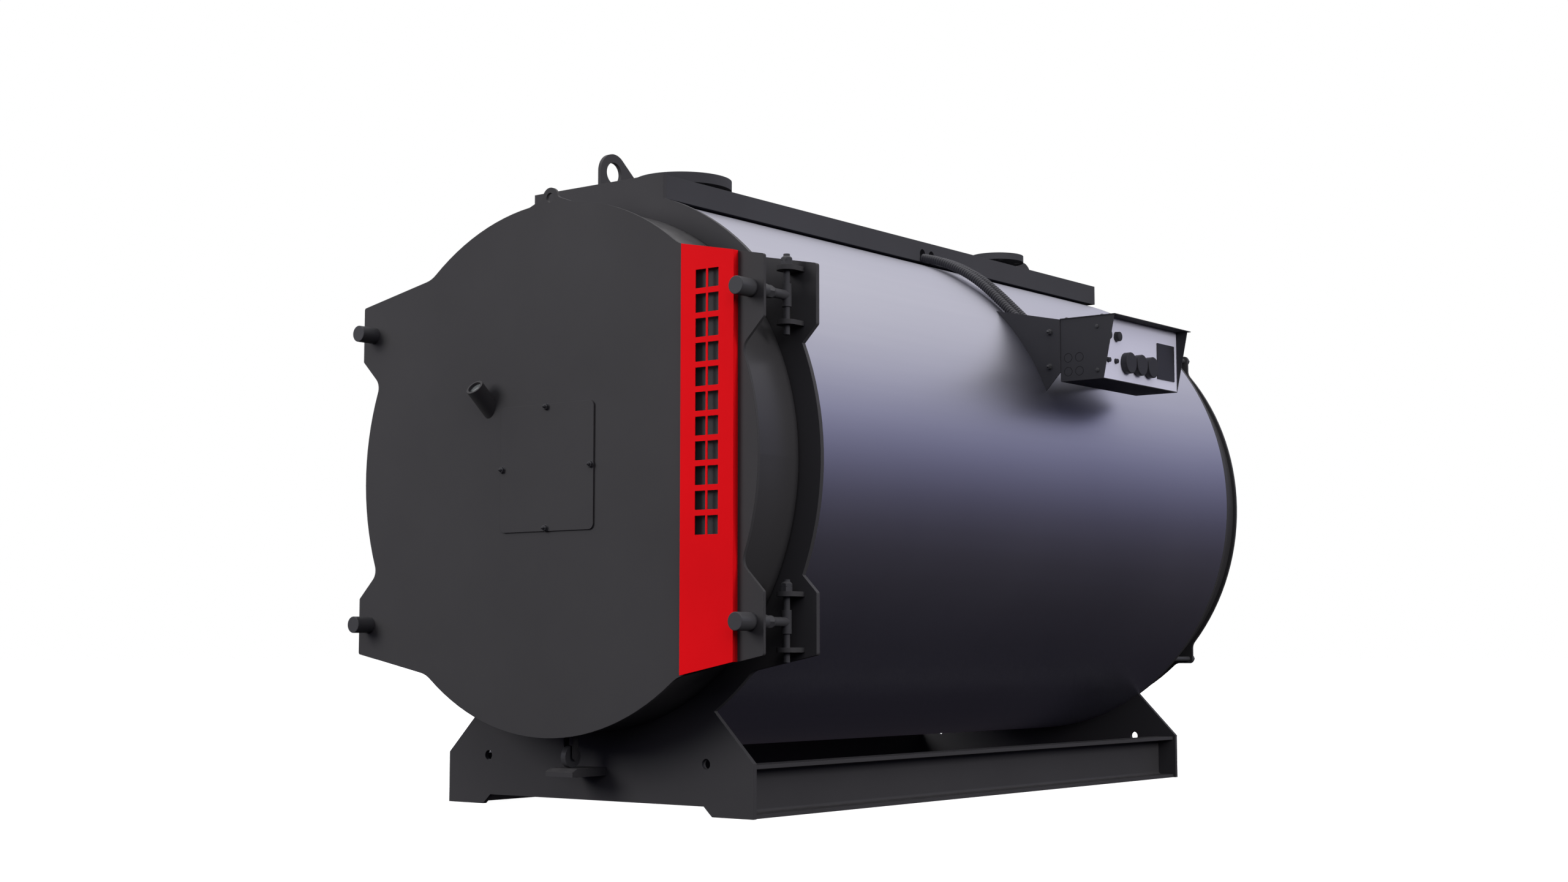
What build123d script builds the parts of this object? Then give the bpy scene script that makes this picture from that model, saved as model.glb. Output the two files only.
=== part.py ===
"""Industrial fire-tube boiler on a low stand, with a hinged front door.

Axes: X to the boiler's right, Y from the front to the back, Z up. The floor
is Z = 0, and Y = 0 is half way along the stand. All lengths are millimetres.
A rise is a height above the boiler's axis.
"""
import os
from math import acos, atan2, cos, hypot, radians, sin, sqrt, tan

from build123d import *

os.makedirs("parts", exist_ok=True)

# Overall arrangement
stand_length = 2030
body_clearance = 136
end_plate_t = 12
overrun = 40
seat_gap = 0.3

# Boiler body
jacket_r = 670
jacket_t = 2
insulation_t = 88
shell_wall = 8
chamber_depth = 70
tube_plate_t = 14
furnace_r = 255
furnace_wall = 12
furnace_length = 1640
furnace_back_t = 16
tube_count = 16
tube_r = 38
tube_wall = 3.2
tube_ring_r = 415

# Front plate with its ears and top panel
front_rim = 8
ear_side_margin = 55.5
ear_low_margin = 65
ear_high_margin = 73
ear_slope_share = 0.2
ear_top_fillet = 78
ear_low_fillet = 32
ear_corner_r = 6
top_panel_half = 212

# Stand
foot_setin = 182
foot_edge_height = 124
foot_pad = 120
foot_arch_height = 23
foot_arch_run = 25
lashing_hole_r = 12
lashing_hole_inset = 138
lashing_hole_z = 119
rail_height = 120
rail_width = 55
rail_web = 7
rail_flange = 9
rail_root_r = 8
rail_inset = 8

# Door
door_depth = 166
door_plate_t = 8
door_setin = 46.5
door_side_margin = 37
drum_setin = 9.5
drum_wall = 5
door_seam = 8
rope_setin = 27
rope_width = 18
burner_hole_r = 130
lining_lip = 122
lining_dish_depth = 30
door_eye_height = 12.5
door_eye_r = 24
door_eye_hole_r = 11.5
door_eye_flare = 67
door_eye_neck_fillet = 10
burner_plate_half = 150
burner_plate_t = 4
burner_plate_corner_r = 14
burner_screw_r = 5.5
burner_screw_ring_r = 143
burner_screw_count = 4
strip_setin = 35
strip_width = 152
strip_depth = 16
strip_t = 1.5
slot_count = 11
slot_width = 30
slot_length = 42
slot_bridge = 6
slot_pitch = 55
slot_end_margin = 34.4
sight_x = -197
sight_rise = 158
sight_tilt = 41
sight_r = 22.5
sight_bore_r = 17
sight_length = 64
sight_glass_t = 5
sight_recess = 7

# Closing bolts and hinges, one set on each ear
bolt_circle_margin = 41
bolt_angle = 30.9
bolt_r = 10.8
ear_hole_r = 14
cap_nut_r = 20.5
cap_nut_length = 53
cap_nut_bore = 30
cap_nut_edge = 2
left_bolt_tip = 12
slack_clearance = 2
sleeve_r = 16
sleeve_length = 43
lock_nut_across = 27
lock_nut_t = 26
lock_nut_nose_r = 12.3
lock_nut_slope = 74
barrel_r = 11
barrel_length = 52.5
pin_r = 7.5
pin_clearance = 0.1
pin_setout = 36
pin_tail = 22
pin_stub = 4.5
pin_nut_across = 24
pin_nut_t = 11
pin_nut_slope = 40
lug_spacing = 123.5
lug_t = 11
lug_half = 23

# Door roller
roller_r = 26
roller_w = 15
roller_setout = 77
roller_bore_clearance = 0.1
roller_axle_r = 5
roller_gap = 0.4
fork_leg_t = 3
fork_leg_depth = 18
fork_side_gap = 5.5
fork_base_t = 4
fork_base_margin = 7
shelf_clearance = 81.4
shelf_t = 20
shelf_half = 43
shelf_length = 116
shelf_ramp = 8

# Top box, nozzles and lifting eyes
top_box_crown = 34
top_box_half = 203
top_box_side = 57
top_box_gap = 3
top_box_overhang = 46
nozzle_setback = 322
nozzle_flange_r = 125
nozzle_flange_t = 26
nozzle_height = 61
nozzle_pipe_r = 70
nozzle_wall = 5
nozzle_bolt_r = 9
nozzle_bolt_circle_r = 105
nozzle_bolt_count = 8
rear_nozzle_setback = 204
rear_nozzle_flange_r = 82.5
rear_nozzle_flange_t = 20
rear_nozzle_height = 81
rear_nozzle_pipe_r = 30
rear_nozzle_wall = 4
rear_nozzle_bolt_r = 9
rear_nozzle_bolt_circle_r = 62.5
rear_nozzle_bolt_count = 4
eye_t = 10
eye_setback = 7
eye_length = 166
eye_head_r = 47.5
eye_hole_rise = 36
eye_hole_r = 26.5

# Rear cover and flue
cover_depth = 135
cover_plate_t = 8
cover_ear_side_out = 31
cover_ear_end_out = 23.5
cover_ear_corner_r = 10
cover_ear_fillet = 30
cover_lining_t = 60
stud_r = 7
stud_inset = 14
stud_tail = 20
flue_r = 150
flue_wall = 4
flue_length = 160
flue_rise = 250

# Control box on the right side
box_y = 60
box_setin = 6
box_depth = 127
box_rise = 273
box_height = 165
box_sheet = 2
cheek_flare = 34
hood_overhang = 3
hood_side_overhang = 14
bracket_t = 3
bracket_top_rise = 479
bracket_low_rise = 252
bracket_side_rise = 297
panel_t = 1.5
gauge_count = 3
gauge_r = 28
gauge_depth = 18
gauge_rise = 324
gauge_setback = 120
gauge_pitch = 61
gauge_edge = 2
display_gap = 50
display_inset = 20
display_rise = 300
display_width = 96
display_height = 97
display_t = 3
knob_r = 11
knob_depth = 14
knob_setback = 61
knob_rise = 399
button_r = 6
button_depth = 9
button_setback = 52
button_pitch = 26
button_rise = 336

# Conduits from the top box to the control box
conduit_r = 16
conduit_setback = 30
conduit_pitch = 42
conduit_entry_drop = 28
conduit_clearance = 64
conduit_low_clearance = 56
conduit_angles = (63.3, 52.4, 41.3)
conduit_end_rise = 372
conduit_bend_share = 0.45

# Sizes and places that follow from those above
axis_height = jacket_r + body_clearance
shell_r = jacket_r - jacket_t - insulation_t
shell_bore_r = shell_r - shell_wall
front_disc_r = jacket_r + front_rim
door_disc_r = front_disc_r - door_setin
drum_r = door_disc_r - drum_setin
rope_r = drum_r - rope_setin
bolt_circle_r = jacket_r + bolt_circle_margin
bolt_x = bolt_circle_r * cos(radians(bolt_angle))
bolt_rise = bolt_circle_r * sin(radians(bolt_angle))
ear_side_x = bolt_x + ear_side_margin
ear_low = bolt_rise - ear_low_margin
ear_high = bolt_rise + ear_high_margin
door_side_x = bolt_x + door_side_margin
door_eye_rise = door_disc_r + door_eye_height
foot_half_width = jacket_r - foot_setin
lashing_hole_x = foot_half_width - lashing_hole_inset
top_box_rise = jacket_r + top_box_crown
front_y = -stand_length / 2
rear_y = stand_length / 2
front_back_y = front_y + end_plate_t
rear_front_y = rear_y - end_plate_t
door_y = front_y - door_depth
door_back_y = front_y - door_seam
pin_y = front_y - pin_setout
ear_back_run = pin_y - door_y - door_plate_t
tube_plate_y = front_y + chamber_depth
rear_tube_plate_y = rear_y - chamber_depth
cover_back_y = rear_y + cover_depth
cover_ear_x = door_disc_r * sqrt(1 / 2) + cover_ear_side_out
cover_ear_rise = door_disc_r * sqrt(1 / 2) + cover_ear_end_out
top_box_top = axis_height + top_box_rise
nozzle_top = top_box_top + nozzle_height
rear_nozzle_top = top_box_top + rear_nozzle_height
box_length = (
    gauge_setback + (gauge_count - 1) * gauge_pitch + display_gap + display_width + display_inset
)
box_back_x = jacket_r - box_setin
box_front_x = box_back_x + box_depth
box_low_z = axis_height + box_rise
box_top_z = box_low_z + box_height


def facing(y):
    """Plane square to the boiler's axis at depth y, seen from the front."""
    return Plane(origin=(0, y, axis_height), x_dir=(1, 0, 0), z_dir=(0, -1, 0))


def level(x, y, z):
    """Level plane at a height, with its origin over a point."""
    return Plane(origin=(x, y, z), x_dir=(1, 0, 0), z_dir=(0, 0, 1))


def side_on(x, y, z):
    """Upright plane along the boiler, seen from its right side."""
    return Plane(origin=(x, y, z), x_dir=(0, 1, 0), z_dir=(1, 0, 0))


def ear_points(side_x, disc_r):
    """Upper right ear of a plate, from its outer edge in to the disc."""
    inner = disc_r / 2
    return [
        (side_x, ear_low),
        (side_x, ear_high),
        (inner, ear_high + ear_slope_share * (side_x - inner)),
        (inner, 0),
        (side_x - ear_low / 2, ear_low / 2),
    ]


def foot_points():
    """Right half of an end plate's foot, up to a point inside the disc."""
    return [
        (foot_half_width, -axis_height),
        (foot_half_width, foot_edge_height - axis_height),
        (0, foot_edge_height + foot_half_width - axis_height),
        (0, foot_arch_height - axis_height),
        (foot_half_width - foot_pad - foot_arch_run, foot_arch_height - axis_height),
        (foot_half_width - foot_pad, -axis_height),
    ]


def nut(across, thickness, nose_r, slope):
    """Hexagon nut on the XY plane, its top turned down to a cone."""
    with BuildPart() as body:
        with BuildSketch():
            RegularPolygon(across / 2, 6, major_radius=False)
        extrude(amount=thickness)
        Cone(
            nose_r + thickness / tan(radians(slope)),
            nose_r,
            thickness,
            align=(Align.CENTER, Align.CENTER, Align.MIN),
            mode=Mode.INTERSECT,
        )
    return body.part


# Outline with four ears and a lifting eye, used by the door plate
with BuildSketch() as door_outline:
    Circle(door_disc_r)
    with BuildLine():
        Polyline(*ear_points(door_side_x, door_disc_r), close=True)
    make_face()
    mirror(about=Plane.XZ)
    mirror(about=Plane.YZ)
    fillet(
        door_outline.vertices().filter_by(
            lambda v: hypot(v.X, v.Y) < door_disc_r + seat_gap and abs(v.Y) > ear_low
        ),
        ear_top_fillet,
    )
    fillet(
        door_outline.vertices().filter_by(
            lambda v: abs(hypot(v.X, v.Y) - door_disc_r) < seat_gap and drum_r / 4 < abs(v.Y) < ear_low
        ),
        ear_low_fillet,
    )
    fillet(
        door_outline.vertices().filter_by(lambda v: abs(abs(v.X) - door_side_x) < seat_gap),
        ear_corner_r,
    )
    with BuildLine():
        Polyline(
            (-door_eye_flare, door_disc_r * cos(door_eye_flare / door_disc_r) - door_plate_t),
            (-door_eye_flare, door_disc_r * cos(door_eye_flare / door_disc_r)),
            (-door_eye_r, door_eye_rise),
            (door_eye_r, door_eye_rise),
            (door_eye_flare, door_disc_r * cos(door_eye_flare / door_disc_r)),
            (door_eye_flare, door_disc_r * cos(door_eye_flare / door_disc_r) - door_plate_t),
            close=True,
        )
    make_face()
    with Locations((0, door_eye_rise)):
        Circle(door_eye_r)
    fillet(
        door_outline.vertices().filter_by(
            lambda v: abs(abs(v.X) - door_eye_r) < seat_gap and v.Y > door_disc_r
        ),
        door_eye_neck_fillet,
    )
    with Locations((0, door_eye_rise)):
        Circle(door_eye_hole_r, mode=Mode.SUBTRACT)

with BuildPart() as front_plate:
    with BuildSketch(facing(front_y)) as front_outline:
        Circle(front_disc_r)
        with BuildLine():
            Polyline(*ear_points(ear_side_x, front_disc_r), close=True)
        make_face()
        mirror(about=Plane.XZ)
        mirror(about=Plane.YZ)
        fillet(
            front_outline.vertices().filter_by(
                lambda v: hypot(v.X, v.Y) < front_disc_r + seat_gap and abs(v.Y) > ear_low
            ),
            ear_top_fillet / 2,
        )
        fillet(
            front_outline.vertices().filter_by(lambda v: abs(abs(v.X) - ear_side_x) < seat_gap),
            ear_corner_r,
        )
        with Locations((0, top_box_rise / 2)):
            Rectangle(2 * top_panel_half, top_box_rise)
        with BuildLine():
            Polyline(*foot_points(), close=True)
        foot = make_face()
        mirror(foot, about=Plane.YZ)
        Circle(shell_bore_r, mode=Mode.SUBTRACT)
        with Locations(
            (lashing_hole_x, lashing_hole_z - axis_height), (-lashing_hole_x, lashing_hole_z - axis_height)
        ):
            Circle(lashing_hole_r, mode=Mode.SUBTRACT)
    extrude(amount=-end_plate_t)
front_plate.part.label = "front_plate"
export_step(front_plate.part, "parts/front_plate.step")

with BuildPart() as rear_plate:
    with BuildSketch(facing(rear_front_y)):
        Circle(jacket_r)
        with BuildLine():
            Polyline(*foot_points(), close=True)
        rear_foot = make_face()
        mirror(rear_foot, about=Plane.YZ)
        Circle(shell_bore_r, mode=Mode.SUBTRACT)
        with Locations(
            (lashing_hole_x, lashing_hole_z - axis_height), (-lashing_hole_x, lashing_hole_z - axis_height)
        ):
            Circle(lashing_hole_r, mode=Mode.SUBTRACT)
    extrude(amount=-end_plate_t)
rear_plate.part.label = "rear_plate"
export_step(rear_plate.part, "parts/rear_plate.step")

# Stand rails: rolled channels between the end plates, open to the outside
rail_back_x = foot_half_width - rail_inset - rail_width
with BuildPart() as stand_rail_right:
    with BuildSketch(Plane(origin=(0, front_back_y, 0), x_dir=(1, 0, 0), z_dir=(0, -1, 0))) as rail_face:
        with Locations((rail_back_x, 0)):
            Rectangle(rail_width, rail_height, align=(Align.MIN, Align.MIN))
        with Locations((rail_back_x + rail_web, rail_flange)):
            Rectangle(
                rail_width,
                rail_height - 2 * rail_flange,
                align=(Align.MIN, Align.MIN),
                mode=Mode.SUBTRACT,
            )
        fillet(
            rail_face.vertices().filter_by(lambda v: abs(v.X - rail_back_x - rail_web) < seat_gap),
            rail_root_r,
        )
    extrude(amount=-(rear_front_y - front_back_y))
stand_rail_right.part.label = "stand_rail_right"
export_step(stand_rail_right.part, "parts/stand_rail_right.step")

with BuildPart() as stand_rail_left:
    add(mirror(stand_rail_right.part, about=Plane.YZ, mode=Mode.PRIVATE))
stand_rail_left.part.label = "stand_rail_left"
export_step(stand_rail_left.part, "parts/stand_rail_left.step")

# Pressure vessel: shell, tube plates, furnace and fire tubes
with BuildPart() as pressure_shell:
    with BuildSketch(facing(front_back_y)):
        Circle(shell_r)
        Circle(shell_bore_r, mode=Mode.SUBTRACT)
    extrude(amount=-(rear_front_y - front_back_y))
pressure_shell.part.label = "pressure_shell"
export_step(pressure_shell.part, "parts/pressure_shell.step")

with BuildPart() as tube_plate:
    with BuildSketch(facing(tube_plate_y)):
        Circle(shell_bore_r)
        Circle(furnace_r, mode=Mode.SUBTRACT)
        with PolarLocations(tube_ring_r, tube_count, start_angle=180 / tube_count):
            Circle(tube_r, mode=Mode.SUBTRACT)
    extrude(amount=-tube_plate_t)
tube_plate.part.label = "tube_plate"
export_step(tube_plate.part, "parts/tube_plate.step")

with BuildPart() as rear_tube_plate:
    with BuildSketch(facing(rear_tube_plate_y - tube_plate_t)):
        Circle(shell_bore_r)
        with PolarLocations(tube_ring_r, tube_count, start_angle=180 / tube_count):
            Circle(tube_r, mode=Mode.SUBTRACT)
    extrude(amount=-tube_plate_t)
rear_tube_plate.part.label = "rear_tube_plate"
export_step(rear_tube_plate.part, "parts/rear_tube_plate.step")

with BuildPart() as furnace_tube:
    with BuildSketch(facing(tube_plate_y)):
        Circle(furnace_r)
    extrude(amount=-furnace_length)
    with BuildSketch(facing(tube_plate_y)):
        Circle(furnace_r - furnace_wall)
    extrude(amount=-(furnace_length - furnace_back_t), mode=Mode.SUBTRACT)
furnace_tube.part.label = "furnace_tube"
export_step(furnace_tube.part, "parts/furnace_tube.step")

with BuildPart() as fire_tubes:
    with BuildSketch(facing(tube_plate_y)):
        with PolarLocations(tube_ring_r, tube_count, start_angle=180 / tube_count):
            Circle(tube_r)
        with PolarLocations(tube_ring_r, tube_count, start_angle=180 / tube_count):
            Circle(tube_r - tube_wall, mode=Mode.SUBTRACT)
    extrude(amount=-(rear_tube_plate_y - tube_plate_y))
fire_tubes.part.label = "fire_tubes"
export_step(fire_tubes.part, "parts/fire_tubes.step")

with BuildPart() as insulation:
    with BuildSketch(facing(front_back_y)):
        Circle(jacket_r - jacket_t)
        Circle(shell_r, mode=Mode.SUBTRACT)
    extrude(amount=-(rear_front_y - front_back_y))
insulation.part.label = "insulation"
export_step(insulation.part, "parts/insulation.step")

with BuildPart() as jacket:
    with BuildSketch(facing(front_back_y)):
        Circle(jacket_r)
        Circle(jacket_r - jacket_t, mode=Mode.SUBTRACT)
    extrude(amount=-(rear_front_y - front_back_y))
jacket.part.label = "jacket"
export_step(jacket.part, "parts/jacket.step")

# Rear cover: a drum like the door's, with an eared plate held by four studs
with BuildPart() as rear_drum:
    with BuildSketch(facing(rear_y)):
        Circle(drum_r)
        Circle(drum_r - drum_wall, mode=Mode.SUBTRACT)
    extrude(amount=-(cover_depth - cover_plate_t))
rear_drum.part.label = "rear_drum"
export_step(rear_drum.part, "parts/rear_drum.step")

with BuildPart() as rear_lining:
    with BuildSketch(facing(cover_back_y - cover_plate_t - cover_lining_t)):
        Circle(drum_r - drum_wall)
        with Locations((0, flue_rise)):
            Circle(flue_r - flue_wall, mode=Mode.SUBTRACT)
    extrude(amount=-cover_lining_t)
rear_lining.part.label = "rear_lining"
export_step(rear_lining.part, "parts/rear_lining.step")

stud_x = cover_ear_x - stud_inset
stud_rise = cover_ear_rise - stud_inset
with BuildPart() as rear_cover:
    with BuildSketch(facing(cover_back_y - cover_plate_t)) as cover_face:
        Circle(door_disc_r)
        Rectangle(2 * cover_ear_x, 2 * cover_ear_rise)
        fillet(
            cover_face.vertices().filter_by(lambda v: abs(hypot(v.X, v.Y) - door_disc_r) < seat_gap),
            cover_ear_fillet,
        )
        fillet(
            cover_face.vertices().filter_by(lambda v: hypot(v.X, v.Y) > door_disc_r + cover_ear_corner_r),
            cover_ear_corner_r,
        )
        with GridLocations(2 * stud_x, 2 * stud_rise, 2, 2):
            Circle(stud_r, mode=Mode.SUBTRACT)
        with Locations((0, flue_rise)):
            Circle(flue_r - flue_wall, mode=Mode.SUBTRACT)
    extrude(amount=-cover_plate_t)
rear_cover.part.label = "rear_cover"
export_step(rear_cover.part, "parts/rear_cover.step")

stud_nut = nut(pin_nut_across, pin_nut_t, pin_nut_across / 2, pin_nut_slope)
with BuildPart() as rear_studs:
    with BuildSketch(facing(rear_y)):
        with GridLocations(2 * stud_x, 2 * stud_rise, 2, 2):
            Circle(stud_r)
    extrude(amount=-(cover_depth + stud_tail))
    with Locations(
        *[
            Location((side * stud_x, cover_back_y, axis_height + up * stud_rise), (-90, 0, 0))
            for side in (-1, 1)
            for up in (-1, 1)
        ]
    ):
        add(stud_nut)
rear_studs.part.label = "rear_studs"
export_step(rear_studs.part, "parts/rear_studs.step")

with BuildPart() as flue_spigot:
    with BuildSketch(facing(cover_back_y)):
        with Locations((0, flue_rise)):
            Circle(flue_r)
            Circle(flue_r - flue_wall, mode=Mode.SUBTRACT)
    extrude(amount=-flue_length)
flue_spigot.part.label = "flue_spigot"
export_step(flue_spigot.part, "parts/flue_spigot.step")

# Top box along the crown of the jacket, with the flow and return nozzles
with BuildPart() as top_box:
    with BuildSketch(facing(front_back_y + top_box_gap)):
        with Locations((0, top_box_rise)):
            Rectangle(2 * top_box_half, top_box_side, align=(Align.CENTER, Align.MAX))
        Circle(jacket_r, mode=Mode.SUBTRACT)
    extrude(amount=-(rear_y - front_back_y - top_box_gap))
    with BuildSketch(facing(rear_y)):
        with Locations((0, top_box_rise)):
            Rectangle(2 * top_box_half, top_box_side, align=(Align.CENTER, Align.MAX))
        Circle(jacket_r, mode=Mode.SUBTRACT)
    extrude(amount=-top_box_overhang)
top_box.part.label = "top_box"
export_step(top_box.part, "parts/top_box.step")

nozzle_y = front_y + nozzle_setback
with BuildPart() as front_nozzle:
    with BuildSketch(level(0, nozzle_y, top_box_top)):
        Circle(nozzle_pipe_r)
    extrude(amount=nozzle_height)
    with BuildSketch(level(0, nozzle_y, nozzle_top)):
        Circle(nozzle_flange_r)
    extrude(amount=-nozzle_flange_t)
    with BuildSketch(level(0, nozzle_y, nozzle_top)):
        with PolarLocations(nozzle_bolt_circle_r, nozzle_bolt_count, start_angle=180 / nozzle_bolt_count):
            Circle(nozzle_bolt_r)
    extrude(amount=-nozzle_flange_t, mode=Mode.SUBTRACT)
    with BuildSketch(level(0, nozzle_y, nozzle_top)):
        Circle(nozzle_pipe_r - nozzle_wall)
    extrude(amount=-nozzle_height, mode=Mode.SUBTRACT)
front_nozzle.part.label = "front_nozzle"
export_step(front_nozzle.part, "parts/front_nozzle.step")

rear_nozzle_y = rear_y - rear_nozzle_setback
with BuildPart() as rear_nozzle:
    with BuildSketch(level(0, rear_nozzle_y, top_box_top)):
        Circle(rear_nozzle_pipe_r)
    extrude(amount=rear_nozzle_height)
    with BuildSketch(level(0, rear_nozzle_y, rear_nozzle_top)):
        Circle(rear_nozzle_flange_r)
    extrude(amount=-rear_nozzle_flange_t)
    with BuildSketch(level(0, rear_nozzle_y, rear_nozzle_top)):
        with PolarLocations(
            rear_nozzle_bolt_circle_r, rear_nozzle_bolt_count, start_angle=180 / rear_nozzle_bolt_count
        ):
            Circle(rear_nozzle_bolt_r)
    extrude(amount=-rear_nozzle_flange_t, mode=Mode.SUBTRACT)
    with BuildSketch(level(0, rear_nozzle_y, rear_nozzle_top)):
        Circle(rear_nozzle_pipe_r - rear_nozzle_wall)
    extrude(amount=-rear_nozzle_height, mode=Mode.SUBTRACT)
rear_nozzle.part.label = "rear_nozzle"
export_step(rear_nozzle.part, "parts/rear_nozzle.step")

# Lifting eyes: a round head with a straight back that runs out on the top
eye_run = eye_length - eye_head_r
eye_turn = acos(eye_head_r / hypot(eye_run, eye_hole_rise)) - atan2(eye_hole_rise, eye_run)
with BuildPart() as front_lifting_eye:
    with BuildSketch(side_on(-eye_t / 2, front_y + eye_setback, top_box_top)):
        with BuildLine():
            Polyline(
                (0, 0),
                (0, eye_hole_rise),
                (eye_head_r, eye_hole_rise),
                (eye_head_r + eye_head_r * cos(eye_turn), eye_hole_rise + eye_head_r * sin(eye_turn)),
                (eye_length, 0),
                close=True,
            )
        make_face()
        with Locations((eye_head_r, eye_hole_rise)):
            Circle(eye_head_r)
            Circle(eye_hole_r, mode=Mode.SUBTRACT)
        with Locations((eye_head_r, 0)):
            Rectangle(2 * eye_head_r, overrun, align=(Align.CENTER, Align.MAX), mode=Mode.SUBTRACT)
    extrude(amount=eye_t)
front_lifting_eye.part.label = "front_lifting_eye"
export_step(front_lifting_eye.part, "parts/front_lifting_eye.step")

with BuildPart() as rear_lifting_eye:
    add(mirror(front_lifting_eye.part, about=Plane.XZ, mode=Mode.PRIVATE))
rear_lifting_eye.part.label = "rear_lifting_eye"
export_step(rear_lifting_eye.part, "parts/rear_lifting_eye.step")

# Hinge lugs: pairs of level plates on the front plate, one pair at each ear
hinge_places = [
    (side * bolt_x, pin_y, axis_height + up * bolt_rise) for side in (-1, 1) for up in (-1, 1)
]
with BuildPart() as hinge_lugs:
    for x, y, z in hinge_places:
        for tier in (-1, 1):
            with BuildSketch(level(x, y, z + (tier * lug_spacing - lug_t) / 2)):
                Circle(lug_half)
                Rectangle(2 * lug_half, pin_setout, align=(Align.CENTER, Align.MIN))
                Circle(pin_r, mode=Mode.SUBTRACT)
            extrude(amount=lug_t)
hinge_lugs.part.label = "hinge_lugs"
export_step(hinge_lugs.part, "parts/hinge_lugs.step")

# Hinge pins: a rod with a nut and a coned lock nut above the upper lug
pin_low_nut = nut(pin_nut_across, pin_nut_t, pin_nut_across / 2, pin_nut_slope)
pin_top_nut = nut(pin_nut_across, pin_nut_t, pin_r, pin_nut_slope)
with BuildPart() as hinge_pins:
    for x, y, z in hinge_places:
        with BuildSketch(level(x, y, z - (lug_spacing + lug_t) / 2 - pin_tail)):
            Circle(pin_r)
        extrude(amount=pin_tail + lug_spacing + lug_t + 2 * pin_nut_t + pin_stub)
        with Locations((x, y, z + (lug_spacing + lug_t) / 2)):
            add(pin_low_nut)
        with Locations((x, y, z + (lug_spacing + lug_t) / 2 + pin_nut_t)):
            add(pin_top_nut)
hinge_pins.part.label = "hinge_pins"
export_step(hinge_pins.part, "parts/hinge_pins.step")

# Eyebolts: a rod with a barrel round the pin, a lock nut and a sleeve
lock_nut = nut(lock_nut_across, lock_nut_t, lock_nut_nose_r, lock_nut_slope)


def eyebolt(tip_run, sleeve_gap):
    """Eyebolt about the origin, its rod run to the front as far as given."""
    with BuildPart() as bolt:
        Cylinder(barrel_r, barrel_length)
        with BuildSketch(Plane.XZ):
            Circle(bolt_r)
        extrude(amount=tip_run)
        with BuildSketch(Plane.XZ.offset(ear_back_run - sleeve_length)):
            Circle(sleeve_r)
        extrude(amount=sleeve_length - sleeve_gap)
        with Locations(Location((0, sleeve_length - ear_back_run, 0), (-90, 0, 0))):
            add(lock_nut)
        Cylinder(pin_r + pin_clearance, barrel_length, mode=Mode.SUBTRACT)
    return bolt.part


right_bolt = eyebolt(pin_y - door_y + cap_nut_bore, 0)
with BuildPart() as eyebolts_right:
    with Locations(*[place for place in hinge_places if place[0] > 0]):
        add(right_bolt)
eyebolts_right.part.label = "eyebolts_right"
export_step(eyebolts_right.part, "parts/eyebolts_right.step")

left_bolt = eyebolt(pin_y - door_y + left_bolt_tip, seat_gap)
with BuildPart() as eyebolts_left:
    with Locations(*[place for place in hinge_places if place[0] < 0]):
        add(left_bolt)
eyebolts_left.part.label = "eyebolts_left"
export_step(eyebolts_left.part, "parts/eyebolts_left.step")


# Cap nuts on the door's four ears
def cap_nut(bore_r):
    """Cap nut about the origin, its closed end to the front."""
    with BuildPart() as cap:
        with BuildSketch(Plane.XZ):
            Circle(cap_nut_r)
        extrude(amount=cap_nut_length)
        fillet(cap.edges().group_by(Axis.Y)[0], cap_nut_edge)
        with BuildSketch(Plane.XZ):
            Circle(bore_r)
        extrude(amount=cap_nut_bore, mode=Mode.SUBTRACT)
    return cap.part


right_cap = cap_nut(bolt_r)
with BuildPart() as cap_nuts_right:
    with Locations(*[(bolt_x, door_y, axis_height + up * bolt_rise) for up in (-1, 1)]):
        add(right_cap)
cap_nuts_right.part.label = "cap_nuts_right"
export_step(cap_nuts_right.part, "parts/cap_nuts_right.step")

left_cap = cap_nut(bolt_r + slack_clearance)
with BuildPart() as cap_nuts_left:
    with Locations(*[(-bolt_x, door_y, axis_height + up * bolt_rise) for up in (-1, 1)]):
        add(left_cap)
cap_nuts_left.part.label = "cap_nuts_left"
export_step(cap_nuts_left.part, "parts/cap_nuts_left.step")

# Door: eared plate, drum, lining and rope seal
with BuildPart() as door_plate:
    with BuildSketch(facing(door_y + door_plate_t)):
        add(door_outline.sketch)
        Circle(burner_hole_r, mode=Mode.SUBTRACT)
        with PolarLocations(burner_screw_ring_r, burner_screw_count):
            Circle(burner_screw_r, mode=Mode.SUBTRACT)
        with GridLocations(2 * bolt_x, 2 * bolt_rise, 2, 2):
            Circle(ear_hole_r, mode=Mode.SUBTRACT)
        with Locations((sight_x, sight_rise)):
            Circle(sight_bore_r, mode=Mode.SUBTRACT)
    extrude(amount=door_plate_t)
door_plate.part.label = "door_plate"
export_step(door_plate.part, "parts/door_plate.step")

with BuildPart() as door_drum:
    with BuildSketch(facing(door_back_y)):
        Circle(drum_r)
        Circle(drum_r - drum_wall, mode=Mode.SUBTRACT)
    extrude(amount=door_back_y - door_y - door_plate_t)
door_drum.part.label = "door_drum"
export_step(door_drum.part, "parts/door_drum.step")

with BuildPart() as door_lining:
    with BuildSketch(facing(door_back_y)):
        Circle(drum_r - drum_wall)
        Circle(burner_hole_r, mode=Mode.SUBTRACT)
        with Locations((sight_x, sight_rise)):
            Circle(sight_bore_r, mode=Mode.SUBTRACT)
    extrude(amount=door_back_y - door_y - door_plate_t)
    with BuildSketch(facing(door_back_y)):
        Circle(drum_r - lining_lip)
    extrude(amount=lining_dish_depth, mode=Mode.SUBTRACT)
door_lining.part.label = "door_lining"
export_step(door_lining.part, "parts/door_lining.step")

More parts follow.
